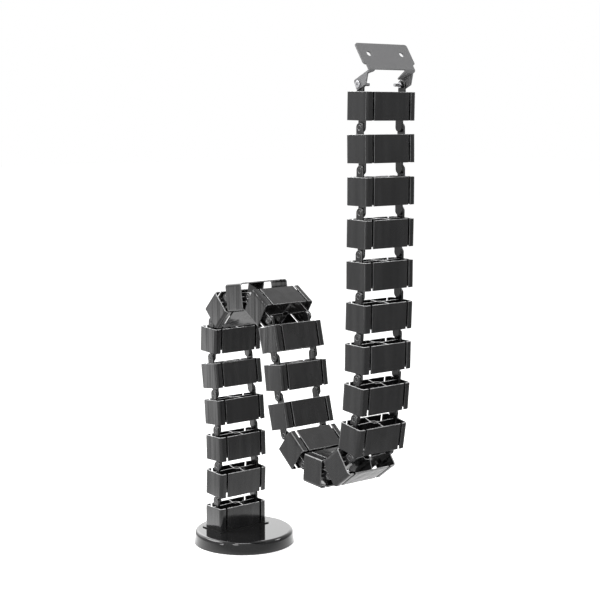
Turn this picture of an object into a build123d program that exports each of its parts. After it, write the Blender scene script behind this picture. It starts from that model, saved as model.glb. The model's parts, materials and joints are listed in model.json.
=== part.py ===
from build123d import *
from math import cos, radians, tan
import os

# Cable spine: a chain of hollow four-channel vertebrae that hinge about X and stand on a round
# weighted base, with a sheet metal bracket on top for the underside of a desk.
# Millimetres. Z is up, X runs along the hinge pins, and the chain folds to and fro along Y.
# The origin is the centre of the base's underside.

# Box of one vertebra: its height is its length along the chain
VERTEBRA_WIDTH = 82.0
VERTEBRA_DEPTH = 39.0
VERTEBRA_HEIGHT = 35.0
VERTEBRA_GAP = 17.0
CORNER_RADIUS = 4.5
WALL = 1.8
RIM_CHAMFER = 0.35

# Full-height slits in both long walls, through which cables are pressed in
SLIT_WIDTH = 3.0
SLIT_INSET = 10.9

# Partitions that make four channels: a web from each end, a hollow core, an arm to each long wall
WEB_THICKNESS = 1.6
WEB_KNEE_INSET = 13.0
CORE_SIDE = (6.2, 1.2)
CORE_NEAR = (2.6, 5.0)
CORE_FAR = (3.8, 3.6)
ARM_ROOT = (4.5, 2.8)
ARM_FOOT_X = 0.5

# Hinge ears: the upper pair stands outside the lower pair of the next vertebra
EAR_INSET = 5.2
EAR_THICKNESS = 3.0
EAR_WIDTH = 11.4
EAR_ROOT = 14.0
EAR_SIDE_GAP = 0.3
PIN_DIAMETER = 6.0
PIN_CLEARANCE = 0.05

# Round base: moulded cover over a steel weight, with a soft pad below
BASE_RADIUS = 73.0
BASE_HEIGHT = 18.0
BASE_TAPER = 2.4
BASE_ROUND = 5.5
BASE_WALL = 2.5
PAD_THICKNESS = 2.4
PAD_PROUD = 0.6
PAD_SIDE_GAP = 0.5
WEIGHT_SIDE_GAP = 2.6
WEIGHT_CHAMFER = 2.6

# Foot: thin plate under the lowest vertebra, which is a little shorter than the others and is held
# by two screws from below
FOOT_Y = 20.0
FOOT_CUT = 2.5
FOOT_PLATE_MARGIN = 3.0
FOOT_PLATE_THICKNESS = 1.5
FOOT_PLATE_RADIUS = 2.0
FOOT_POST_INSET = 10.0
FOOT_POST_DIAMETER = 8.5
FOOT_POST_HEIGHT = 15.0
FOOT_SCREW_DIAMETER = 4.0
FOOT_SCREW_GRIP = 12.0
FOOT_SCREW_HEAD_DIAMETER = 7.0
FOOT_SCREW_HEAD_HEIGHT = 2.6
FOOT_SCREW_HOLE_GAP = 0.25
FOOT_SCREW_SINK = 0.2
THREAD_CLEARANCE = 0.05
HEX_SOCKET = 2.5
HEX_SOCKET_DEPTH = 1.4

# Bracket in its own frame: pivot at the origin, desk face level on top. The legs and ears lean a
# little from square to the plate, and the right leg is the wider one.
SHEET = 2.0
BRACKET_SIDE_GAP = 0.3
PLATE_RISE = 26.0
PLATE_WIDTH = 85.0
PLATE_END_Y = 42.2
PLATE_START_Y = 11.9
PLATE_FRONT_Y = 4.6
PLATE_RADIUS = 3.5
BEND_INSIDE = 0.8
LEG_LEAN = 9.0
LEG_FACE = 6.0
LEG_TOP = 25.0
RIGHT_LEG_TOP_WIDTH = 17.0
RIGHT_LEG_FOOT_WIDTH = 10.5
RIGHT_LEG_FOOT = 2.5
LEFT_LEG_TOP_WIDTH = 10.0
LEFT_LEG_FOOT_WIDTH = 3.0
LEFT_LEG_FOOT = 15.0
LUG_FRONT = -5.4
LUG_END = -6.0
LUG_ROUND = 2.2
LUG_SHOULDER = 11.5
LUG_TOP = 20.5
DESK_HOLE_DIAMETER = 7.0
DESK_HOLE_SPACING = 54.0
DESK_HOLE_Y = 27.0

# Shoulder screws and nuts that carry the bracket on the top vertebra
PIVOT_THREAD_DIAMETER = 4.0
PIVOT_THREAD_LENGTH = 11.3
PIVOT_HEAD_DIAMETER = 8.6
PIVOT_HEAD_HEIGHT = 2.4
PIVOT_HEAD_ROUND = 0.7
NUT_ACROSS_FLATS = 7.0
NUT_THICKNESS = 3.2
NUT_GAP = 0.2

# Pose in the photograph: lean of each vertebra from upright, from the foot to the top, in degrees
LEANS = [0, 3, -2, -5, -8, 3, 44, 82, 122, 166, 172, 165, 129, 94, 53, 9, 5, 1, 2, 0, 1, 0, -1, 1]
BRACKET_LEAN = 56

# Places that follow from the sizes above
HALF_WIDTH = VERTEBRA_WIDTH / 2
HALF_DEPTH = VERTEBRA_DEPTH / 2
HALF_HEIGHT = VERTEBRA_HEIGHT / 2
PIVOT_Z = (VERTEBRA_HEIGHT + VERTEBRA_GAP) / 2
UPPER_EAR_X = HALF_WIDTH - EAR_INSET - EAR_THICKNESS
LOWER_EAR_X = UPPER_EAR_X - EAR_SIDE_GAP - EAR_THICKNESS
PIN_HOLE_RADIUS = PIN_DIAMETER / 2 + PIN_CLEARANCE
PAD_RADIUS = BASE_RADIUS - BASE_WALL - PAD_SIDE_GAP
WEIGHT_RADIUS = BASE_RADIUS - BASE_WALL - WEIGHT_SIDE_GAP
WEIGHT_TOP_Z = BASE_HEIGHT - BASE_WALL
FOOT_Z = BASE_HEIGHT + FOOT_PLATE_THICKNESS
FOOT_POST_X = HALF_WIDTH - FOOT_POST_INSET
FOOT_HEAD_TOP_Z = PAD_THICKNESS + FOOT_SCREW_SINK + FOOT_SCREW_HEAD_HEIGHT
FOOT_HOLE_RADIUS = FOOT_SCREW_DIAMETER / 2 + FOOT_SCREW_HOLE_GAP
LUG_X = UPPER_EAR_X + EAR_THICKNESS + BRACKET_SIDE_GAP
BRACKET_NECK_X = LUG_X + SHEET
NUT_X = UPPER_EAR_X - NUT_GAP


def save(part, name):
    """Labels one finished piece and writes it as its own file."""
    part.label = name
    export_step(part, f"parts/{name}.step")


# Vertebra
def opposite(point):
    """The same point after half a turn about the chain's line."""
    return (-point[0], -point[1])


def core_outline():
    """Face of the hollow core in the middle, before it is hollowed."""
    corners = [
        (-CORE_SIDE[0], CORE_SIDE[1]),
        (-CORE_NEAR[0], CORE_NEAR[1]),
        CORE_FAR,
    ]
    with BuildSketch() as core:
        with BuildLine():
            Polyline(*corners, *[opposite(corner) for corner in corners], close=True)
        make_face()
    return core.sketch


def half_partition():
    """Web and arm of one half of the cross-section; the other half is the same after half a turn."""
    web_end = HALF_WIDTH - WALL / 2
    knee = HALF_WIDTH - WEB_KNEE_INSET
    arm_end = HALF_DEPTH - WALL / 2
    with BuildSketch() as partition:
        with BuildLine():
            Polyline((-web_end, 0), (-knee, 0), (-CORE_SIDE[0] + WEB_THICKNESS / 2, CORE_SIDE[1]))
        trace(line_width=WEB_THICKNESS)
        with BuildLine():
            Line((-ARM_ROOT[0] + WEB_THICKNESS / 2, ARM_ROOT[1]), (ARM_FOOT_X, arm_end))
        trace(line_width=WEB_THICKNESS)
    return partition.sketch


def vertebra_section():
    """Cross-section of the box with its slits and partitions."""
    partition = half_partition()
    core = core_outline()
    with BuildSketch() as section:
        RectangleRounded(VERTEBRA_WIDTH, VERTEBRA_DEPTH, CORNER_RADIUS)
        RectangleRounded(
            VERTEBRA_WIDTH - 2 * WALL,
            VERTEBRA_DEPTH - 2 * WALL,
            CORNER_RADIUS - WALL,
            mode=Mode.SUBTRACT,
        )
        with GridLocations(VERTEBRA_WIDTH - 2 * SLIT_INSET, VERTEBRA_DEPTH - WALL, 2, 2):
            Rectangle(SLIT_WIDTH, 2 * WALL, mode=Mode.SUBTRACT)
        add(partition)
        add(partition, rotation=180)
        add(core)
        offset(core, amount=-WEB_THICKNESS, kind=Kind.INTERSECTION, mode=Mode.SUBTRACT)
    return section.sketch


def ear(height):
    """Outline of one ear in the YZ plane, from inside the box to its round end at the pivot."""
    with BuildSketch() as outline:
        with Locations((0, height / 2)):
            Rectangle(EAR_WIDTH, height)
        with Locations((0, height)):
            Circle(EAR_WIDTH / 2)
    return outline.sketch


def vertebra(with_lower_ears):
    """One vertebra with its centre at the origin and its chain direction along Z."""
    root_z = HALF_HEIGHT - EAR_ROOT
    ear_height = PIVOT_Z - root_z
    sides = (-1, 1)
    bottom_z = -HALF_HEIGHT if with_lower_ears else FOOT_CUT - HALF_HEIGHT
    with BuildPart() as body:
        with BuildSketch(Plane.XY.offset(bottom_z)):
            add(vertebra_section())
        extrude(amount=HALF_HEIGHT - bottom_z)
        rims = body.edges().filter_by_position(Axis.Z, bottom_z, bottom_z)
        rims += body.edges().filter_by_position(Axis.Z, HALF_HEIGHT, HALF_HEIGHT)
        chamfer(rims, RIM_CHAMFER)
        for side in sides:
            with BuildSketch(Plane.YZ.offset(side * (UPPER_EAR_X + EAR_THICKNESS / 2))):
                with Locations((0, root_z)):
                    add(ear(ear_height))
            extrude(amount=EAR_THICKNESS / 2, both=True)
        with Locations((0, 0, PIVOT_Z)):
            Cylinder(PIN_HOLE_RADIUS, VERTEBRA_WIDTH, rotation=(0, 90, 0), mode=Mode.SUBTRACT)
        if with_lower_ears:
            for side in sides:
                with BuildSketch(Plane.YZ.offset(side * (LOWER_EAR_X + EAR_THICKNESS / 2))):
                    with Locations((0, -root_z)):
                        add(ear(ear_height), rotation=180)
                extrude(amount=EAR_THICKNESS / 2, both=True)
                with BuildSketch(Plane.YZ.offset(side * (LOWER_EAR_X + EAR_THICKNESS))):
                    with Locations((0, -PIVOT_Z)):
                        Circle(PIN_DIAMETER / 2)
                extrude(amount=side * (EAR_SIDE_GAP + EAR_THICKNESS))
        else:
            post_hole = FOOT_SCREW_DIAMETER / 2 + THREAD_CLEARANCE
            with BuildSketch(Plane.XY.offset(bottom_z)):
                with Locations((-FOOT_POST_X, 0), (FOOT_POST_X, 0)):
                    Circle(FOOT_POST_DIAMETER / 2)
            extrude(amount=FOOT_POST_HEIGHT)
            with BuildSketch(Plane.XY.offset(bottom_z)):
                with Locations((-FOOT_POST_X, 0), (FOOT_POST_X, 0)):
                    Circle(post_hole)
            extrude(amount=FOOT_POST_HEIGHT, mode=Mode.SUBTRACT)
    return body.part


# Base
def base_cover():
    """Moulded shell of the base, open below."""
    slope = BASE_TAPER / (BASE_HEIGHT - PAD_PROUD)
    top_radius = BASE_RADIUS - BASE_TAPER
    inner_top_radius = BASE_RADIUS - BASE_WALL - slope * (WEIGHT_TOP_Z - PAD_PROUD)
    with BuildPart() as cover:
        with BuildSketch(Plane.XZ):
            with BuildLine():
                Polyline(
                    (0, WEIGHT_TOP_Z),
                    (inner_top_radius, WEIGHT_TOP_Z),
                    (BASE_RADIUS - BASE_WALL, PAD_PROUD),
                    (BASE_RADIUS, PAD_PROUD),
                    (top_radius, BASE_HEIGHT),
                    (0, BASE_HEIGHT),
                    close=True,
                )
            make_face()
        revolve(axis=Axis.Z)
        fillet(cover.edges().filter_by(GeomType.CIRCLE).group_by(Axis.Z)[1], BASE_ROUND - BASE_WALL)
        fillet(cover.edges().filter_by(GeomType.CIRCLE).group_by(Axis.Z)[-1], BASE_ROUND)
        with Locations((-FOOT_POST_X, FOOT_Y, BASE_HEIGHT), (FOOT_POST_X, FOOT_Y, BASE_HEIGHT)):
            Hole(FOOT_HOLE_RADIUS, 2 * BASE_WALL)
    return cover.part


def base_weight():
    """Steel disc inside the cover, with the screw heads sunk into its underside."""
    with BuildPart() as weight:
        with BuildSketch(Plane.XY.offset(PAD_THICKNESS)):
            Circle(WEIGHT_RADIUS)
        extrude(amount=WEIGHT_TOP_Z - PAD_THICKNESS)
        chamfer(weight.edges().group_by(Axis.Z)[-1], WEIGHT_CHAMFER)
        with BuildSketch(Plane.XY.offset(PAD_THICKNESS)):
            with Locations((-FOOT_POST_X, FOOT_Y), (FOOT_POST_X, FOOT_Y)):
                Circle(FOOT_HOLE_RADIUS)
        extrude(amount=WEIGHT_TOP_Z - PAD_THICKNESS, mode=Mode.SUBTRACT)
        with BuildSketch(Plane.XY.offset(PAD_THICKNESS)):
            with Locations((-FOOT_POST_X, FOOT_Y), (FOOT_POST_X, FOOT_Y)):
                Circle(FOOT_SCREW_HEAD_DIAMETER / 2 + FOOT_SCREW_HOLE_GAP)
        extrude(amount=FOOT_HEAD_TOP_Z - PAD_THICKNESS, mode=Mode.SUBTRACT)
    return weight.part


def base_pad():
    """Soft disc under the weight that the base stands on."""
    with BuildPart() as pad:
        with BuildSketch():
            Circle(PAD_RADIUS)
        extrude(amount=PAD_THICKNESS)
    return pad.part


def foot_plate():
    """Thin plate between the base and the lowest vertebra."""
    with BuildPart() as plate:
        with BuildSketch(Plane.XY.offset(BASE_HEIGHT)):
            with Locations((0, FOOT_Y)):
                RectangleRounded(
                    VERTEBRA_WIDTH + 2 * FOOT_PLATE_MARGIN,
                    VERTEBRA_DEPTH + 2 * FOOT_PLATE_MARGIN,
                    FOOT_PLATE_RADIUS,
                )
            with Locations((-FOOT_POST_X, FOOT_Y), (FOOT_POST_X, FOOT_Y)):
                Circle(FOOT_HOLE_RADIUS, mode=Mode.SUBTRACT)
        extrude(amount=FOOT_PLATE_THICKNESS)
    return plate.part


def foot_screws():
    """The two screws that join weight, cover, foot plate and lowest vertebra."""
    places = [(-FOOT_POST_X, FOOT_Y), (FOOT_POST_X, FOOT_Y)]
    head_foot_z = PAD_THICKNESS + FOOT_SCREW_SINK
    with BuildPart() as screws:
        with BuildSketch(Plane.XY.offset(head_foot_z)):
            with Locations(*places):
                Circle(FOOT_SCREW_HEAD_DIAMETER / 2)
        extrude(amount=FOOT_SCREW_HEAD_HEIGHT)
        with BuildSketch(Plane.XY.offset(head_foot_z)):
            with Locations(*places):
                Circle(FOOT_SCREW_DIAMETER / 2)
        extrude(amount=FOOT_Z + FOOT_SCREW_GRIP - head_foot_z)
        with BuildSketch(Plane.XY.offset(head_foot_z)):
            with Locations(*places):
                RegularPolygon(HEX_SOCKET / 2, 6, major_radius=False)
        extrude(amount=HEX_SOCKET_DEPTH, mode=Mode.SUBTRACT)
    return screws.part


# Bracket
def leg_point(across, along):
    """Place in the bracket's YZ plane from distances across and along the leaning legs."""
    place = Vector(across, along).rotate(Axis.Z, LEG_LEAN)
    return (place.X, place.Y)


def leg_y_at(across, height):
    """Y at which a face of the legs passes the given height."""
    lean = radians(LEG_LEAN)
    return across / cos(lean) - height * tan(lean)


def leg_profile(foot):
    """Outline of one leg and its bend into the plate, in the bracket's YZ plane."""
    back = LEG_FACE + SHEET
    underside = PLATE_RISE - SHEET
    neck_end_y = PLATE_START_Y + PLATE_RADIUS
    with BuildSketch() as outline:
        with BuildLine():
            Polyline(
                leg_point(LEG_FACE, foot),
                (leg_y_at(LEG_FACE, PLATE_RISE), PLATE_RISE),
                (neck_end_y, PLATE_RISE),
                (neck_end_y, underside),
                (leg_y_at(back, underside), underside),
                leg_point(back, foot),
                close=True,
            )
        make_face()
        fillet(outline.vertices().group_by(Axis.Y)[-2].sort_by(Axis.X)[0], BEND_INSIDE)
        fillet(outline.vertices().group_by(Axis.Y)[-1].sort_by(Axis.X)[0], BEND_INSIDE + SHEET)
    return outline.sketch


def leg(side, foot, foot_width, top_width):
    """One tapered leg with its bend, straight on its outer edge."""
    outer_x = side * BRACKET_NECK_X
    inner_x = outer_x - side * top_width
    with BuildPart() as body:
        with BuildSketch(Plane.YZ.offset(outer_x)):
            add(leg_profile(foot))
        extrude(amount=-side * top_width)
        with BuildSketch(Plane.XZ.rotated((LEG_LEAN, 0, 0))):
            with BuildLine():
                Polyline(
                    (outer_x - side * foot_width, foot),
                    (inner_x, LEG_TOP),
                    (inner_x, foot),
                    close=True,
                )
            make_face()
        extrude(amount=-2 * (LEG_FACE + SHEET), mode=Mode.SUBTRACT)
    return body.part


def lug_outline():
    """Outline of one bracket ear, as distances across and along the legs from the pivot."""
    back = LEG_FACE + SHEET
    with BuildSketch() as outline:
        with BuildLine():
            Polyline(
                (LUG_FRONT, LUG_END),
                (back, LUG_END),
                (back, LUG_TOP + SHEET),
                (LEG_FACE, LUG_TOP),
                (LUG_FRONT, LUG_SHOULDER),
                close=True,
            )
        make_face()
        fillet(outline.vertices().group_by(Axis.Y)[0], LUG_ROUND)
        Circle(PIN_HOLE_RADIUS, mode=Mode.SUBTRACT)
    return outline.sketch


def desk_bracket():
    """Bent sheet bracket: desk plate with its neck, two tapered legs and two ears."""
    plate_length = PLATE_END_Y - PLATE_START_Y
    neck_end_y = PLATE_START_Y + PLATE_RADIUS
    with BuildPart() as bracket:
        with BuildSketch(Plane.XY.offset(PLATE_RISE - SHEET)):
            with Locations((0, PLATE_START_Y + plate_length / 2)):
                RectangleRounded(PLATE_WIDTH, plate_length, PLATE_RADIUS)
            with Locations((-DESK_HOLE_SPACING / 2, DESK_HOLE_Y), (DESK_HOLE_SPACING / 2, DESK_HOLE_Y)):
                Circle(DESK_HOLE_DIAMETER / 2, mode=Mode.SUBTRACT)
            with Locations((0, (PLATE_FRONT_Y + neck_end_y) / 2)):
                Rectangle(2 * BRACKET_NECK_X, neck_end_y - PLATE_FRONT_Y)
        extrude(amount=SHEET)
        add(leg(1, RIGHT_LEG_FOOT, RIGHT_LEG_FOOT_WIDTH, RIGHT_LEG_TOP_WIDTH))
        add(leg(-1, LEFT_LEG_FOOT, LEFT_LEG_FOOT_WIDTH, LEFT_LEG_TOP_WIDTH))
        for side in (-1, 1):
            with BuildSketch(Plane.YZ.offset(side * LUG_X)):
                add(lug_outline(), rotation=LEG_LEAN)
            extrude(amount=side * SHEET)
    return bracket.part


def pivot_screws():
    """The two shoulder screws of the bracket, heads outside."""
    shoulder_length = BRACKET_NECK_X - NUT_X
    with BuildPart() as screws:
        for side in (-1, 1):
            outside = Plane.YZ.offset(side * BRACKET_NECK_X)
            with BuildSketch(outside):
                Circle(PIVOT_HEAD_DIAMETER / 2)
            extrude(amount=side * PIVOT_HEAD_HEIGHT)
            rim = screws.edges().filter_by(GeomType.CIRCLE).sort_by(Axis.X)[0 if side < 0 else -1]
            fillet(rim, PIVOT_HEAD_ROUND)
            with BuildSketch(outside):
                Circle(PIN_DIAMETER / 2)
            extrude(amount=-side * shoulder_length)
            with BuildSketch(Plane.YZ.offset(side * NUT_X)):
                Circle(PIVOT_THREAD_DIAMETER / 2)
            extrude(amount=-side * PIVOT_THREAD_LENGTH)
            with BuildSketch(Plane.YZ.offset(side * (BRACKET_NECK_X + PIVOT_HEAD_HEIGHT))):
                RegularPolygon(HEX_SOCKET / 2, 6, major_radius=False)
            extrude(amount=-side * HEX_SOCKET_DEPTH, mode=Mode.SUBTRACT)
    return screws.part


def bracket_nuts():
    """The two nuts against the screws' shoulders."""
    with BuildPart() as nuts:
        for side in (-1, 1):
            with BuildSketch(Plane.YZ.offset(side * NUT_X)):
                RegularPolygon(NUT_ACROSS_FLATS / 2, 6, major_radius=False)
                Circle(PIVOT_THREAD_DIAMETER / 2 + THREAD_CLEARANCE, mode=Mode.SUBTRACT)
            extrude(amount=-side * NUT_THICKNESS)
    return nuts.part


# Placing: each vertebra hangs on the upper pivot of the one before it
def along_chain(lean, distance):
    """Vector of the given length in the direction of a vertebra with this lean."""
    return Vector(0, 0, distance).rotate(Axis.X, lean)


os.makedirs("parts", exist_ok=True)

save(base_pad(), "base_pad")
save(base_weight(), "base_weight")
save(base_cover(), "base_cover")
save(foot_plate(), "foot_plate")
save(foot_screws(), "foot_screws")

foot_centre = Vector(0, FOOT_Y, FOOT_Z - FOOT_CUT + HALF_HEIGHT)
save(vertebra(with_lower_ears=False).moved(Location(foot_centre, (LEANS[0], 0, 0))), "foot_vertebra")

link = vertebra(with_lower_ears=True)
pivot = foot_centre + along_chain(LEANS[0], PIVOT_Z)
for number, lean in enumerate(LEANS[1:], start=1):
    centre = pivot + along_chain(lean, PIVOT_Z)
    save(link.moved(Location(centre, (lean, 0, 0))), f"vertebra_{number:02d}")
    pivot = centre + along_chain(lean, PIVOT_Z)

bracket_place = Location(pivot, (BRACKET_LEAN, 0, 0))
save(desk_bracket().moved(bracket_place), "desk_bracket")
save(pivot_screws().moved(bracket_place), "bracket_screws")
save(bracket_nuts().moved(bracket_place), "bracket_nuts")
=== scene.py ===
"""Looks of a floor-standing cable spine: its finishes, rounded edges, studio and camera.

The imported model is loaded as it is. Its boxes and its bracket are shown by copies with rounded
edges, and its other pieces by themselves with a material each.
"""

import json
import logging
import math
from dataclasses import dataclass, field
from enum import Enum

import bmesh
import bpy
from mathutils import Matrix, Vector

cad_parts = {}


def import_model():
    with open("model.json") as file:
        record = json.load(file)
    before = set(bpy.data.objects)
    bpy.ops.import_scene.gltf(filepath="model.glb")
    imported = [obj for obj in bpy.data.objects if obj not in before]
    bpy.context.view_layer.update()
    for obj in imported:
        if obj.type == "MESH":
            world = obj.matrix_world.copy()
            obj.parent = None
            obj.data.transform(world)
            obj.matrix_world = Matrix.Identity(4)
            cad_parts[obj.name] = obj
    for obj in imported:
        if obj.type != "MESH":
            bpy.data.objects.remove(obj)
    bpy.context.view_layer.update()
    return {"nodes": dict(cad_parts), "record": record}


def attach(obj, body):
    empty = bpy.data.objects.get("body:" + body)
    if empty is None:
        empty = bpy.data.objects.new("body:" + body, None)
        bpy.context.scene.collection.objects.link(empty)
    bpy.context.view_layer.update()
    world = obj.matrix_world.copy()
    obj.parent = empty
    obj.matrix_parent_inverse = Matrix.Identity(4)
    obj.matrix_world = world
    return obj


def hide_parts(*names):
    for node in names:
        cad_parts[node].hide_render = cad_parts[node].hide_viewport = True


LOG = logging.getLogger("cable_spine")

Colour = tuple[float, float, float]
Place = tuple[float, float, float]
Span = tuple[float, float]
Socket = bpy.types.NodeSocket

WHITE: Colour = (1.0, 1.0, 1.0)
UNIT: Span = (0.0, 1.0)

# Range in which nearly all values of a noise lie.
NOISE_SPAN: Span = (0.3, 0.7)

# Sockets of a Mix node that carry colours.
LOWER_COLOUR = 6
UPPER_COLOUR = 7
MIXED_COLOUR = 2

# Material places that a bevel gives to its new faces. The second place holds the painted
# highlight of rims and rounded edges.
PAINTED_HIGHLIGHT_PLACE = 1
SAME_PLACE = -1


class Axis(Enum):
    """Direction in which a drawn or brushed surface has its lines."""

    X = (0.06, 1.0, 1.0)
    Z = (1.0, 1.0, 0.06)


class Lamp(Enum):
    """Soft boxes of the studio, by where they stand around the object."""

    KEY = "key_left"
    FILL = "fill_right"
    TOP = "top"
    BACK = "back_left"
    STRIP = "strip_left"


def rgba(colour: Colour) -> tuple[float, float, float, float]:
    """Returns the colour with full opacity.

    Args:
        colour: Linear red, green and blue.

    Returns:
        The same colour with an alpha of one.
    """
    return (*colour, 1.0)


class Draft:
    """A node tree while its nodes are being laid."""

    tree: bpy.types.NodeTree

    def node(self, kind: str, **settings: object) -> bpy.types.Node:
        """Adds a node and sets its properties.

        Args:
            kind: Blender's name of the node type.
            settings: Properties of the node.

        Returns:
            The new node.
        """
        made = self.tree.nodes.new(kind)
        for key, value in settings.items():
            setattr(made, key, value)
        return made

    def link(self, source: Socket, target: Socket) -> None:
        """Joins two sockets.

        Args:
            source: Output socket.
            target: Input socket.
        """
        self.tree.links.new(source, target)

    def feed(self, target: Socket, value: object) -> None:
        """Links a socket to an input, or sets the input's constant.

        Args:
            target: Input socket.
            value: Output socket, number, direction or colour with alpha.
        """
        if isinstance(value, Socket):
            self.link(value, target)
        else:
            target.default_value = value

    def combine(self, operation: str, *terms: float | Socket) -> Socket:
        """Adds a Math node.

        Args:
            operation: Blender's name of the operation.
            terms: Sockets or numbers, in the operation's order.

        Returns:
            The node's output socket.
        """
        made = self.node("ShaderNodeMath", operation=operation)
        for index, term in enumerate(terms):
            self.feed(made.inputs[index], term)
        return made.outputs[0]

    def ramp(
        self,
        value: Socket,
        span: tuple[float | Socket, float] = UNIT,
        levels: Span = UNIT,
        kind: str = "LINEAR",
    ) -> Socket:
        """Maps a value from one range onto another.

        Args:
            value: The value.
            span: Where the value's range begins and ends.
            levels: Results at both ends of that range.
            kind: Blender's name of the interpolation.

        Returns:
            The mapped value's socket.
        """
        made = self.node("ShaderNodeMapRange", interpolation_type=kind)
        self.link(value, made.inputs["Value"])
        for label, limit in zip(("From Min", "From Max", "To Min", "To Max"), (*span, *levels)):
            self.feed(made.inputs[label], limit)
        return made.outputs[0]

    def measure(self, operation: str, place: Socket, other: Place) -> Socket:
        """Adds a Vector Math node that turns two vectors into a number.

        Args:
            operation: Blender's name of the operation.
            place: The first vector's socket.
            other: The second vector.

        Returns:
            The number's socket.
        """
        made = self.node("ShaderNodeVectorMath", operation=operation)
        self.link(place, made.inputs[0])
        made.inputs[1].default_value = other
        return made.outputs["Value"]

    def place(self) -> Socket:
        """Adds a Texture Coordinate node.

        Returns:
            The socket with the place in the object's own space.
        """
        return self.node("ShaderNodeTexCoord").outputs["Object"]

    def stretch(self, place: Socket, scale: Place) -> Socket:
        """Scales a place along each axis.

        Args:
            place: The place's socket.
            scale: Factor along each axis.

        Returns:
            The scaled place's socket.
        """
        made = self.node("ShaderNodeMapping")
        made.inputs["Scale"].default_value = scale
        self.link(place, made.inputs["Vector"])
        return made.outputs["Vector"]

    def noise(self, place: Socket, size: float | Socket, detail: float = 2.0) -> Socket:
        """Adds a Noise Texture node.

        Args:
            place: Where the noise is looked up.
            size: Number of its cells in a metre.
            detail: Number of finer layers on it.

        Returns:
            The noise's value.
        """
        made = self.node("ShaderNodeTexNoise")
        made.inputs["Detail"].default_value = detail
        self.link(place, made.inputs["Vector"])
        self.feed(made.inputs["Scale"], size)
        return made.outputs[0]

    def choose(self, share: Socket, lower: Socket, upper: Socket) -> Socket:
        """Mixes two shaders.

        Args:
            share: Share of the upper shader.
            lower: Lower shader.
            upper: Upper shader.

        Returns:
            The mixed shader's socket.
        """
        made = self.node("ShaderNodeMixShader")
        for index, source in enumerate((share, lower, upper)):
            self.link(source, made.inputs[index])
        return made.outputs[0]


@dataclass
class GroupDraft(Draft):
    """A shader node group while it is being drawn."""

    name: str
    inputs: dict[str, float]
    outputs: tuple[str, ...]
    tree: bpy.types.NodeTree = field(init=False)
    entry: bpy.types.Node = field(init=False)
    result: bpy.types.Node = field(init=False)

    def __post_init__(self) -> None:
        """Makes the empty group with its named sockets."""
        self.tree = bpy.data.node_groups.new(self.name, "ShaderNodeTree")
        for label, value in self.inputs.items():
            socket = self.tree.interface.new_socket(
                name=label, in_out="INPUT", socket_type="NodeSocketFloat"
            )
            socket.default_value = value
        for label in self.outputs:
            self.tree.interface.new_socket(
                name=label, in_out="OUTPUT", socket_type="NodeSocketFloat"
            )
        self.entry = self.node("NodeGroupInput")
        self.result = self.node("NodeGroupOutput")

    def asked(self, label: str) -> Socket:
        """Finds one of the group's own inputs.

        Args:
            label: Name of the input.

        Returns:
            The socket that gives its value inside the group.
        """
        return self.entry.outputs[label]

    def give(self, **results: Socket) -> bpy.types.NodeTree:
        """Links the group's outputs.

        Args:
            results: Socket by name of the output.

        Returns:
            The finished node group.
        """
        for label, source in results.items():
            self.link(source, self.result.inputs[label])
        return self.tree


@dataclass
class Effects:
    """The node groups that several finishes share, with the numbers that they fix."""

    upright_stretch: Place = (1.0, 1.0, 0.08)
    skin_height: float = 0.02
    worn_from: Span = (0.52, 0.64)
    skin: bpy.types.NodeTree = field(init=False)
    dust_and_highlight: bpy.types.NodeTree = field(init=False)
    wear: bpy.types.NodeTree = field(init=False)

    def __post_init__(self) -> None:
        """Draws the three groups."""
        self.skin = self.draw_skin()
        self.dust_and_highlight = self.draw_dust_and_highlight()
        self.wear = self.draw_wear()

    def draw_skin(self) -> bpy.types.NodeTree:
        """Draws the group for mouldings: fine skin, sink marks and upright flow streaks.

        Returns:
            The finished node group.
        """
        sizes = {"Grain size": 900.0, "Cloud size": 22.0, "Streak size": 110.0}
        heights = {"Sink": 0.35, "Streak": 0.0}
        draft = GroupDraft(
            "moulded_skin", sizes | heights, ("Height", "Cloud", "Fine", "Flow")
        )
        place = draft.place()
        drawn = draft.stretch(place, self.upright_stretch)
        fine = draft.noise(place, draft.asked("Grain size"), detail=3.0)
        cloud = draft.noise(place, draft.asked("Cloud size"), detail=2.0)
        flow = draft.noise(drawn, draft.asked("Streak size"), detail=1.0)
        slow = draft.combine("MULTIPLY", cloud, draft.asked("Sink"))
        quick = draft.combine("MULTIPLY", fine, self.skin_height)
        upright = draft.combine("MULTIPLY", flow, draft.asked("Streak"))
        height = draft.combine("ADD", draft.combine("ADD", slow, quick), upright)
        return draft.give(Height=height, Cloud=cloud, Fine=fine, Flow=flow)

    def draw_dust_and_highlight(self) -> bpy.types.NodeTree:
        """Draws the group that masks what faces up: faint dust, and with a large amount a
        painted highlight, reaching further round if asked.

        Returns:
            The finished node group.
        """
        draft = GroupDraft(
            "dust_and_highlight_mask", {"Amount": 0.1, "Patch size": 60.0, "Lowest": 0.0}, ("Mask",)
        )
        place = draft.place()
        shape = draft.node("ShaderNodeNewGeometry")
        split = draft.node("ShaderNodeSeparateXYZ")
        draft.link(shape.outputs["Normal"], split.inputs[0])
        rise = draft.ramp(split.outputs["Z"], (draft.asked("Lowest"), 1.0))
        patch = draft.noise(place, draft.asked("Patch size"), detail=5.0)
        upward_patches = draft.combine("MULTIPLY", rise, patch)
        return draft.give(Mask=draft.combine("MULTIPLY", upward_patches, draft.asked("Amount")))

    def draw_wear(self) -> bpy.types.NodeTree:
        """Draws the group for edges that are rubbed bright.

        Returns:
            Draws the group for edges that are worn bright.
        """
        draft = GroupDraft("rubbed_edges", {"Amount": 0.3, "Break up": 140.0}, ("Mask",))
        shape = draft.node("ShaderNodeNewGeometry")
        sharp = draft.ramp(shape.outputs["Pointiness"], self.worn_from)
        broken = draft.noise(draft.place(), draft.asked("Break up"))
        rubbed_and_highlight = draft.combine("MULTIPLY", sharp, broken)
        return draft.give(Mask=draft.combine("MULTIPLY", rubbed_and_highlight, draft.asked("Amount")))


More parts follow.
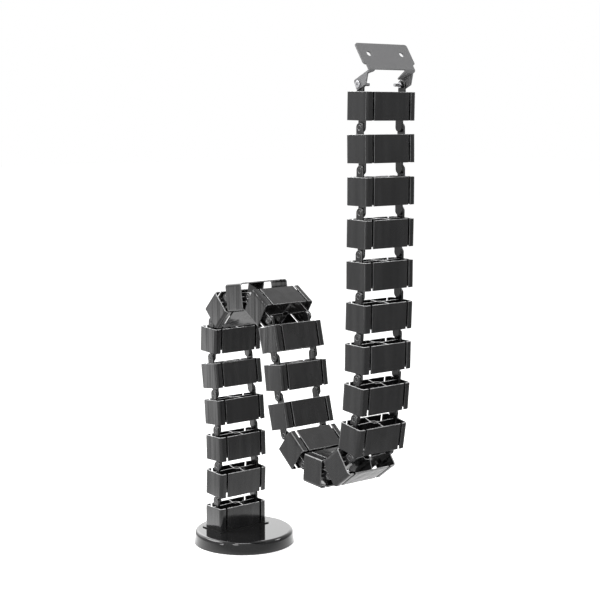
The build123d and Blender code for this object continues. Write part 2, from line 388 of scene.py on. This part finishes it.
@dataclass
class MaterialDraft(Draft):
    """A material while its nodes are being laid."""

    name: str
    material: bpy.types.Material = field(init=False)
    tree: bpy.types.NodeTree = field(init=False)
    surface: bpy.types.Node = field(init=False)

    def __post_init__(self) -> None:
        """Makes the material and finds its Principled shader."""
        self.material = bpy.data.materials.new(self.name)
        self.material.use_nodes = True
        self.tree = self.material.node_tree
        self.surface = self.tree.nodes["Principled BSDF"]

    def group(self, tree: bpy.types.NodeTree, **values: float) -> bpy.types.Node:
        """Places a node group with its own values.

        Args:
            tree: The group.
            values: Value by socket name, with spaces written as underscores.

        Returns:
            The placed group node.
        """
        placed = self.node("ShaderNodeGroup", node_tree=tree)
        for key, value in values.items():
            placed.inputs[key.replace("_", " ")].default_value = value
        return placed

    def shade(self, **values: object) -> None:
        """Feeds sockets of the Principled shader.

        Args:
            values: Constant or socket by name, with spaces written as underscores.
        """
        for key, value in values.items():
            self.feed(self.surface.inputs[key.replace("_", " ")], value)

    def cover(self, mask: Socket, base: Colour | Socket, over: Colour) -> Socket:
        """Mixes a colour over another by a mask.

        Args:
            mask: Share of the upper colour.
            base: Lower colour, or the socket that gives it.
            over: Upper colour.

        Returns:
            The mixed colour's socket.
        """
        mixer = self.node("ShaderNodeMix", data_type="RGBA")
        self.link(mask, mixer.inputs["Factor"])
        lower = base if isinstance(base, Socket) else rgba(base)
        self.feed(mixer.inputs[LOWER_COLOUR], lower)
        self.feed(mixer.inputs[UPPER_COLOUR], rgba(over))
        return mixer.outputs[MIXED_COLOUR]

    def spread(self, noise: Socket, levels: Span) -> Socket:
        """Maps a noise onto a range.

        Args:
            noise: The noise's value.
            levels: Lowest and highest result.

        Returns:
            The mapped value's socket.
        """
        return self.ramp(noise, NOISE_SPAN, levels)

    def bump(self, height: Socket, strength: float, depth: float) -> None:
        """Feeds a height into the shader's normal.

        Args:
            height: The height's socket.
            strength: Share of the bump that shows.
            depth: Depth of a height of one, in metres.
        """
        node = self.node("ShaderNodeBump")
        node.inputs["Strength"].default_value = strength
        node.inputs["Distance"].default_value = depth
        self.link(height, node.inputs["Height"])
        self.shade(Normal=node.outputs["Normal"])


@dataclass(frozen=True)
class MouldedPlastic:
    """Black moulded plastic, from satin to high gloss."""

    name: str
    colour: Colour = (0.006, 0.006, 0.0065)
    clouded: Colour = (0.009, 0.009, 0.0095)
    flowed: Colour = (0.05, 0.05, 0.051)
    rubbed_and_highlight: Colour = (0.1, 0.1, 0.1)
    # Colour of faint dust, and of a painted highlight when the amount below is large.
    dust_and_highlight_colour: Colour = (0.3, 0.29, 0.28)
    roughness: Span = (0.1, 0.15)
    grain: float = 900.0
    cloud: float = 22.0
    sink: float = 0.35
    streak: float = 1.5
    flow: float = 0.0
    # Faint dust when small; a painted highlight on faces that look up, reaching further round
    # with a lower Lowest, when large.
    dust_and_highlight: float = 0.04
    dust_and_highlight_lowest: float = 0.0
    wear: float = 0.0
    bump: float = 1.0
    depth: float = 0.0003
    gloss: float = 0.5
    refraction: float = 1.5

    def make(self, effects: Effects) -> bpy.types.Material:
        """Builds the material.

        Args:
            effects: The shared node groups.

        Returns:
            The finished material.
        """
        draft = MaterialDraft(self.name)
        skin = draft.group(
            effects.skin,
            Grain_size=self.grain,
            Cloud_size=self.cloud,
            Sink=self.sink,
            Streak=self.streak,
        )
        dust_and_highlight = draft.group(effects.dust_and_highlight, Amount=self.dust_and_highlight, Lowest=self.dust_and_highlight_lowest)
        wear = draft.group(effects.wear, Amount=self.wear)
        tone = draft.cover(skin.outputs["Cloud"], self.colour, self.clouded)
        flow = draft.spread(skin.outputs["Flow"], (0.0, self.flow))
        tone = draft.cover(flow, tone, self.flowed)
        tone = draft.cover(wear.outputs["Mask"], tone, self.rubbed_and_highlight)
        # Mixes the dust colour into faces that look up; with a large amount this is a painted
        # highlight.
        tone = draft.cover(dust_and_highlight.outputs["Mask"], tone, self.dust_and_highlight_colour)
        rough = draft.spread(skin.outputs["Cloud"], self.roughness)
        draft.shade(Base_Color=tone, Roughness=rough)
        draft.bump(skin.outputs["Height"], self.bump, self.depth)
        draft.shade(IOR=self.refraction, Specular_IOR_Level=self.gloss)
        return draft.material


@dataclass(frozen=True)
class CoatedSheet:
    """Sheet steel with a thin grey coat."""

    name: str
    colour: Colour = (0.17, 0.17, 0.173)
    mottled: Colour = (0.155, 0.155, 0.158)
    dust_and_highlight_colour: Colour = (0.5, 0.49, 0.47)
    roughness: Span = (0.6, 0.7)
    grain: float = 2600.0
    cloud: float = 70.0
    sink: float = 0.15
    dust_and_highlight: float = 0.05
    bump: float = 0.5
    depth: float = 0.0001
    sheen: float = 0.25

    def make(self, effects: Effects) -> bpy.types.Material:
        """Builds the material.

        Args:
            effects: The shared node groups.

        Returns:
            The finished material.
        """
        draft = MaterialDraft(self.name)
        skin = draft.group(
            effects.skin, Grain_size=self.grain, Cloud_size=self.cloud, Sink=self.sink
        )
        dust_and_highlight = draft.group(effects.dust_and_highlight, Amount=self.dust_and_highlight)
        tone = draft.cover(skin.outputs["Cloud"], self.colour, self.mottled)
        tone = draft.cover(dust_and_highlight.outputs["Mask"], tone, self.dust_and_highlight_colour)
        rough = draft.spread(skin.outputs["Fine"], self.roughness)
        draft.shade(Base_Color=tone, Roughness=rough)
        draft.bump(skin.outputs["Height"], self.bump, self.depth)
        draft.shade(Metallic=0.0, Specular_IOR_Level=self.sheen)
        return draft.material


@dataclass(frozen=True)
class DrawnSteel:
    """Bare or zinc-plated steel with fine lines from turning or drawing."""

    name: str
    lines: Axis
    colour: Colour = (0.62, 0.62, 0.64)
    stained: Colour = (0.42, 0.42, 0.43)
    rubbed_and_highlight: Colour = (0.8, 0.8, 0.8)
    roughness: Span = (0.2, 0.34)
    line_size: float = 1800.0
    line_detail: float = 4.0
    wear: float = 0.4
    bump: float = 0.25
    depth: float = 0.00003

    def make(self, effects: Effects) -> bpy.types.Material:
        """Builds the material.

        Args:
            effects: The shared node groups.

        Returns:
            The finished material.
        """
        draft = MaterialDraft(self.name)
        wear = draft.group(effects.wear, Amount=self.wear)
        along = draft.stretch(draft.place(), self.lines.value)
        lines = draft.noise(along, self.line_size, self.line_detail)
        tone = draft.cover(lines, self.stained, self.colour)
        tone = draft.cover(wear.outputs["Mask"], tone, self.rubbed_and_highlight)
        draft.shade(Base_Color=tone, Roughness=draft.spread(lines, self.roughness))
        draft.bump(lines, self.bump, self.depth)
        draft.shade(Metallic=1.0)
        return draft.material


@dataclass(frozen=True)
class SoftPad:
    """Matt rubber of the pad under the base."""

    name: str
    colour: Colour = (0.02, 0.02, 0.02)
    worn: Colour = (0.05, 0.05, 0.048)
    roughness: Span = (0.75, 0.95)
    grain: float = 1500.0
    cloud: float = 40.0
    sink: float = 0.1
    bump: float = 0.8
    depth: float = 0.0003

    def make(self, effects: Effects) -> bpy.types.Material:
        """Builds the material.

        Args:
            effects: The shared node groups.

        Returns:
            The finished material.
        """
        draft = MaterialDraft(self.name)
        skin = draft.group(
            effects.skin, Grain_size=self.grain, Cloud_size=self.cloud, Sink=self.sink
        )
        tone = draft.cover(skin.outputs["Cloud"], self.colour, self.worn)
        rough = draft.spread(skin.outputs["Fine"], self.roughness)
        draft.shade(Base_Color=tone, Roughness=rough)
        draft.bump(skin.outputs["Fine"], self.bump, self.depth)
        return draft.material


def dress(
    nodes: dict[str, bpy.types.Object], name: str, finish: bpy.types.Material
) -> None:
    """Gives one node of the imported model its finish.

    Args:
        nodes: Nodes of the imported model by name.
        name: The node.
        finish: Its material.
    """
    piece = nodes[name]
    if not piece.material_slots:
        piece.data.materials.append(finish)
    for place in piece.material_slots:
        place.material = finish
    LOG.info("dressed %s with %s", name, finish.name)


@dataclass
class Base:
    """Round weighted base with its cover, weight, pad, foot plate and screws."""

    cover: MouldedPlastic = MouldedPlastic(
        "gloss_black_cover",
        roughness=(0.04, 0.07),
        sink=1.0,
        streak=0.0,
        cloud=14.0,
        grain=500.0,
        bump=0.05,
        dust_and_highlight=0.02,
        wear=0.1,
        gloss=0.42,
    )
    plate: MouldedPlastic = MouldedPlastic("satin_black_plate", roughness=(0.3, 0.4))
    pad: SoftPad = SoftPad("soft_pad")
    weight: DrawnSteel = DrawnSteel("mild_steel_weight", Axis.X, roughness=(0.35, 0.5))
    screws: DrawnSteel = DrawnSteel("zinc_foot_screws", Axis.Z)

    def dress(self, nodes: dict[str, bpy.types.Object], effects: Effects) -> None:
        """Gives every piece of the base its finish.

        Args:
            nodes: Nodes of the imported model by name.
            effects: The shared node groups.
        """
        dress(nodes, "base_cover", self.cover.make(effects))
        dress(nodes, "foot_plate", self.plate.make(effects))
        dress(nodes, "base_pad", self.pad.make(effects))
        dress(nodes, "base_weight", self.weight.make(effects))
        dress(nodes, "foot_screws", self.screws.make(effects))


@dataclass(frozen=True)
class EdgeRound:
    """How the sharp moulded or sheared edges of a piece are rounded, in metres and radians."""

    width: float = 0.00045
    segments: int = 2
    profile: float = 0.5
    weld: float = 0.000002
    sharp_angle: float = math.radians(60.0)
    flat_angle: float = math.radians(1.0)
    smooth_angle: float = math.radians(50.0)
    end_share: float = 0.6

    def apply(
        self, source: bpy.types.Object, name: str, along: Vector | None = None
    ) -> bpy.types.Object:
        """Copies a CAD node's mesh with its sharp outer edges rounded.

        Args:
            source: The CAD node.
            name: Name of the new piece.
            along: Direction whose end faces, the rims, are given the piece's second material,
                the painted highlight, if any.

        Returns:
            The new piece, with normals weighted so that flat faces stay flat.
        """
        shape = bmesh.new()
        shape.from_mesh(source.data)
        bmesh.ops.remove_doubles(shape, verts=shape.verts, dist=self.weld)
        bmesh.ops.dissolve_limit(
            shape, angle_limit=self.flat_angle, verts=shape.verts, edges=shape.edges
        )
        sharp = [
            edge
            for edge in shape.edges
            if edge.is_manifold
            and edge.is_convex
            and edge.calc_face_angle() > self.sharp_angle
        ]
        bmesh.ops.bevel(
            shape,
            geom=sharp,
            offset=self.width,
            offset_type="OFFSET",
            segments=self.segments,
            profile=self.profile,
            affect="EDGES",
            clamp_overlap=True,
            material=SAME_PLACE if along is None else PAINTED_HIGHLIGHT_PLACE,
        )
        for face in shape.faces:
            face.smooth = True
            # Bevel faces above, and the rim faces at both ends here, take the painted highlight
            # material.
            if along is not None and abs(face.normal.dot(along)) > self.end_share:
                face.material_index = PAINTED_HIGHLIGHT_PLACE
        mesh = bpy.data.meshes.new(name)
        shape.to_mesh(mesh)
        shape.free()
        mesh.set_sharp_from_angle(angle=self.smooth_angle)
        piece = bpy.data.objects.new(name, mesh)
        bpy.context.scene.collection.objects.link(piece)
        weigh = piece.modifiers.new("even_shading", "WEIGHTED_NORMAL")
        weigh.keep_sharp = True
        return piece


@dataclass
class Chain:
    """The chain of hollow boxes, each with softly rounded edges."""

    count: int = 23
    plastic: MouldedPlastic = MouldedPlastic("black_chain_plastic", flow=0.22)
    # Second finish: a painted highlight on rims and rounded edges, lighter the more a face looks
    # up.
    rubbed_and_highlight: MouldedPlastic = MouldedPlastic(
        "painted_rim_highlights",
        colour=(0.02, 0.02, 0.021),
        clouded=(0.03, 0.03, 0.031),
        dust_and_highlight_colour=(0.6, 0.6, 0.605),
        roughness=(0.22, 0.3),
        streak=0.2,
        dust_and_highlight=2.0,
        dust_and_highlight_lowest=-0.18,
    )
    edges: EdgeRound = EdgeRound()

    def directions(self, joints: list[dict]) -> dict[str, Vector]:
        """Works out which way each box points from the places of its two hinges.

        Args:
            joints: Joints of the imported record, from the foot to the bracket.

        Returns:
            Direction along the chain by CAD node.
        """
        places = [Vector(joint["pos_m"]) for joint in joints]
        found = {"foot_vertebra": Vector((0.0, 0.0, 1.0))}
        for number in range(1, self.count + 1):
            way = places[number] - places[number - 1]
            found[f"vertebra_{number:02d}"] = way.normalized()
        return found

    def build_box(
        self,
        nodes: dict[str, bpy.types.Object],
        node: str,
        along: Vector,
        finishes: tuple[bpy.types.Material, bpy.types.Material],
    ) -> None:
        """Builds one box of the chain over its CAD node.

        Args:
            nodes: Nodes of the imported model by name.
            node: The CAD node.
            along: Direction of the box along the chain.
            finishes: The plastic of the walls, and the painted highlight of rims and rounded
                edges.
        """
        body = "base" if node == "foot_vertebra" else node
        piece = self.edges.apply(nodes[node], f"{node}_box", along)
        for finish in finishes:
            piece.data.materials.append(finish)
        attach(piece, body)
        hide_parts(node)
        LOG.info("built %s", piece.name)

    def build(
        self, nodes: dict[str, bpy.types.Object], joints: list[dict], effects: Effects
    ) -> None:
        """Builds every box of the chain.

        Args:
            nodes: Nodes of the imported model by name.
            joints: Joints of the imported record, from the foot to the bracket.
            effects: The shared node groups.
        """
        finishes = (self.plastic.make(effects), self.rubbed_and_highlight.make(effects))
        for node, along in self.directions(joints).items():
            self.build_box(nodes, node, along, finishes)


@dataclass
class DeskBracket:
    """Bent sheet bracket with its shoulder screws and nuts."""

    coat: CoatedSheet = CoatedSheet("grey_coated_sheet")
    zinc: DrawnSteel = DrawnSteel("zinc_pivot_screws", Axis.X)
    edges: EdgeRound = EdgeRound(width=0.0003, smooth_angle=math.radians(20.0))

    def build(self, nodes: dict[str, bpy.types.Object], effects: Effects) -> None:
        """Builds the bracket with its sheared edges eased, and dresses its screws and nuts.

        Args:
            nodes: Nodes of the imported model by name.
            effects: The shared node groups.
        """
        sheet = self.edges.apply(nodes["desk_bracket"], "desk_bracket_sheet")
        sheet.data.materials.append(self.coat.make(effects))
        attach(sheet, "bracket")
        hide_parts("desk_bracket")
        LOG.info("built %s", sheet.name)
        zinc = self.zinc.make(effects)
        dress(nodes, "bracket_screws", zinc)
        dress(nodes, "bracket_nuts", zinc)


@dataclass(frozen=True)
class Pool:
    """Round pool of light on the floor, as reflections see it, in metres."""

    centre: Place
    reach: float
    gain: float

    def share(self, draft: Draft, place: Socket) -> Socket:
        """Measures how near a spot of the floor is to the middle of the pool.

        Args:
            draft: The floor's material.
            place: Position on the floor.

        Returns:
            One in the middle, falling softly to zero at the edge.
        """
        away = draft.measure("DISTANCE", place, self.centre)
        return draft.ramp(away, (0.0, self.reach), (1.0, 0.0), "SMOOTHSTEP")


@dataclass(frozen=True)
class Edge:
    """Soft straight edge on the floor, as reflections see it, in metres."""

    across: Place
    bounds: Span

    def share(self, draft: Draft, place: Socket) -> Socket:
        """Measures how far a spot of the floor lies beyond the edge.

        Args:
            draft: The floor's material.
            place: Position on the floor.

        Returns:
            Zero before the edge, rising softly to one beyond it.
        """
        along = draft.measure("DOT_PRODUCT", place, self.across)
        return draft.ramp(along, self.bounds, UNIT, "SMOOTHSTEP")


@dataclass(frozen=True)
class Floor:
    """Floor that is white to the camera and unevenly lit in reflections."""

    size: float = 14.0
    colour: Colour = (0.9, 0.9, 0.9)
    roughness: float = 0.9
    bounce: float = 0.1
    glow: float = 0.62
    mirrored_level: float = 0.9
    far_pool: Pool = Pool((-0.75, 1.1, 0.0), reach=3.0, gain=1.75)
    far_edge: Edge = Edge((0.772, 0.636, 0.0), (-0.1, 0.15))
    dim_edge: Edge = Edge((0.6, -0.8, 0.0), (0.3, 0.75))
    dim_loss: float = 0.5
    near_pool: Pool = Pool((0.0, 0.1, 0.0), reach=0.32, gain=2.2)

    def mirrored(self, draft: Draft) -> Socket:
        """Gives the floor that glossy surfaces see: lit at the back left, dimmer in front.

        Args:
            draft: The floor's material.

        Returns:
            The emission's socket.
        """
        place = draft.place()
        far = self.far_pool.share(draft, place)
        lit = draft.combine("MULTIPLY", far, self.far_edge.share(draft, place))
        level = draft.combine("MULTIPLY_ADD", lit, self.far_pool.gain, self.mirrored_level)
        dim = self.dim_edge.share(draft, place)
        level = draft.combine("MULTIPLY_ADD", dim, -self.dim_loss, level)
        near = self.near_pool.share(draft, place)
        level = draft.combine("MULTIPLY_ADD", near, self.near_pool.gain, level)
        seen = draft.node("ShaderNodeEmission")
        draft.link(level, seen.inputs["Strength"])
        return seen.outputs[0]

    def finish(self) -> bpy.types.Material:
        """Builds the floor's material.

        Returns:
            The finished material.
        """
        draft = MaterialDraft("pale_floor")
        draft.shade(
            Base_Color=rgba(self.colour), Roughness=self.roughness, Specular_IOR_Level=0.0
        )
        path = draft.node("ShaderNodeLightPath")
        bright = draft.ramp(path.outputs["Is Camera Ray"], UNIT, (self.bounce, self.glow))
        glow = draft.node("ShaderNodeEmission")
        draft.link(bright, glow.inputs["Strength"])
        both = draft.node("ShaderNodeAddShader")
        draft.link(draft.surface.outputs[0], both.inputs[0])
        draft.link(glow.outputs[0], both.inputs[1])
        seen = draft.choose(
            path.outputs["Is Glossy Ray"], both.outputs[0], self.mirrored(draft)
        )
        draft.link(seen, draft.tree.nodes["Material Output"].inputs["Surface"])
        return draft.material

    def build(self) -> None:
        """Lays the floor, which catches the object's soft shadow."""
        mesh = bpy.data.meshes.new("floor")
        shape = bmesh.new()
        bmesh.ops.create_grid(shape, x_segments=1, y_segments=1, size=self.size)
        shape.to_mesh(mesh)
        shape.free()
        floor = bpy.data.objects.new("floor", mesh)
        bpy.context.scene.collection.objects.link(floor)
        mesh.materials.append(self.finish())


@dataclass(frozen=True)
class Glow:
    """Part of the surroundings that reflections see brighter or dimmer than the rest."""

    middle: Place
    bounds: Span
    levels: Span

    def level(self, draft: Draft) -> Socket:
        """Measures the level in a direction of the surroundings.

        Args:
            draft: The world.

        Returns:
            The inner level near the middle, changing softly to the outer one.
        """
        place = draft.node("ShaderNodeTexCoord").outputs["Generated"]
        away = draft.measure("DISTANCE", place, Vector(self.middle).normalized())
        return draft.ramp(away, self.bounds, self.levels, "SMOOTHSTEP")


@dataclass
class Surround(Draft):
    """Surroundings: white to the camera, softer as light and uneven in reflections."""

    name: str = "white_surround"
    light: float = 0.45
    backdrop: Glow = Glow((0.68, 0.74, 0.16), (0.15, 0.7), (2.6, 0.95))
    front: Glow = Glow((0.63, -0.77, 0.0), (0.4, 1.2), (0.5, 1.0))
    high: Glow = Glow((0.1, 0.75, 0.65), (0.2, 0.62), (3.5, 1.0))
    tree: bpy.types.NodeTree = field(init=False)

    def background(self, strength: float | Socket) -> Socket:
        """Adds a white background.

        Args:
            strength: Its strength.

        Returns:
            The background's socket.
        """
        made = self.node("ShaderNodeBackground")
        made.inputs["Color"].default_value = rgba(WHITE)
        self.feed(made.inputs["Strength"], strength)
        return made.outputs[0]

    def build(self) -> None:
        """Makes the surroundings."""
        world = bpy.data.worlds.new(self.name)
        bpy.context.scene.world = world
        world.use_nodes = True
        self.tree = world.node_tree
        self.tree.nodes.clear()
        path = self.node("ShaderNodeLightPath").outputs
        level = self.backdrop.level(self)
        for glow in (self.front, self.high):
            level = self.combine("MULTIPLY", level, glow.level(self))
        lighting = self.choose(
            path["Is Glossy Ray"], self.background(self.light), self.background(level)
        )
        either = self.combine(
            "MAXIMUM", path["Is Camera Ray"], path["Is Transmission Ray"]
        )
        seen = self.choose(either, lighting, self.background(1.0))
        output = self.node("ShaderNodeOutputWorld")
        self.link(seen, output.inputs["Surface"])


@dataclass(frozen=True)
class SoftBox:
    """One soft box: where it hangs, its width and height in metres, and its power in watts."""

    place: Place
    width: float
    height: float
    power: float

    def hang(self, name: str, aim: Vector) -> None:
        """Hangs the soft box, hidden from the camera.

        Args:
            name: Name of the lamp.
            aim: Point that it shines at.
        """
        light = bpy.data.lights.new(name, "AREA")
        light.shape = "RECTANGLE"
        light.size = self.width
        light.size_y = self.height
        light.energy = self.power
        item = bpy.data.objects.new(name, light)
        item.location = self.place
        look = aim - Vector(self.place)
        item.rotation_euler = look.to_track_quat("-Z", "Y").to_euler()
        item.visible_camera = False
        bpy.context.scene.collection.objects.link(item)


@dataclass(frozen=True)
class View:
    """Camera at the photograph's viewing angle, in metres, degrees and millimetres."""

    place: Place = (-1.1654, -1.5599, 0.6074)
    tilt: float = 82.478
    turn: float = -39.142
    lens: float = 83.2
    sensor: float = 36.0

    def build(self) -> None:
        """Sets up the camera."""
        camera = bpy.data.cameras.new("view")
        camera.lens = self.lens
        camera.sensor_width = self.sensor
        item = bpy.data.objects.new("view", camera)
        item.location = self.place
        item.rotation_euler = (math.radians(self.tilt), 0.0, math.radians(self.turn))
        bpy.context.scene.collection.objects.link(item)
        bpy.context.scene.camera = item


@dataclass
class Studio:
    """Pale floor, white surroundings, soft lamps and the camera."""

    aim: Place = (0.0, -0.13, 0.32)
    lamps: dict[Lamp, SoftBox] = field(
        default_factory=lambda: {
            Lamp.KEY: SoftBox((-2.1, -1.3, 1.5), 0.6, 0.6, 20.0),
            Lamp.FILL: SoftBox((2.1, -1.0, 1.9), 0.6, 0.6, 12.0),
            Lamp.TOP: SoftBox((-0.5, -0.6, 2.6), 1.2, 0.5, 20.0),
            Lamp.BACK: SoftBox((-1.1, 1.2, 1.9), 1.5, 1.0, 40.0),
            Lamp.STRIP: SoftBox((-2.3, -0.1, 0.35), 0.16, 1.5, 8.0),
        }
    )

    def build(self) -> None:
        """Builds floor, surroundings, lamps and camera."""
        Floor().build()
        Surround().build()
        for lamp, box in self.lamps.items():
            box.hang(lamp.value, Vector(self.aim))
        View().build()
        bpy.context.scene.view_settings.view_transform = "Standard"
        LOG.info("studio ready")


def main() -> None:
    """Builds the classes in order."""
    logging.basicConfig(level=logging.INFO, format="%(name)s: %(message)s")
    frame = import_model()
    nodes = frame["nodes"]
    effects = Effects()
    Base().dress(nodes, effects)
    Chain().build(nodes, frame["record"]["behaviour"]["joints"], effects)
    DeskBracket().build(nodes, effects)
    Studio().build()


if __name__ == "__main__":
    main()
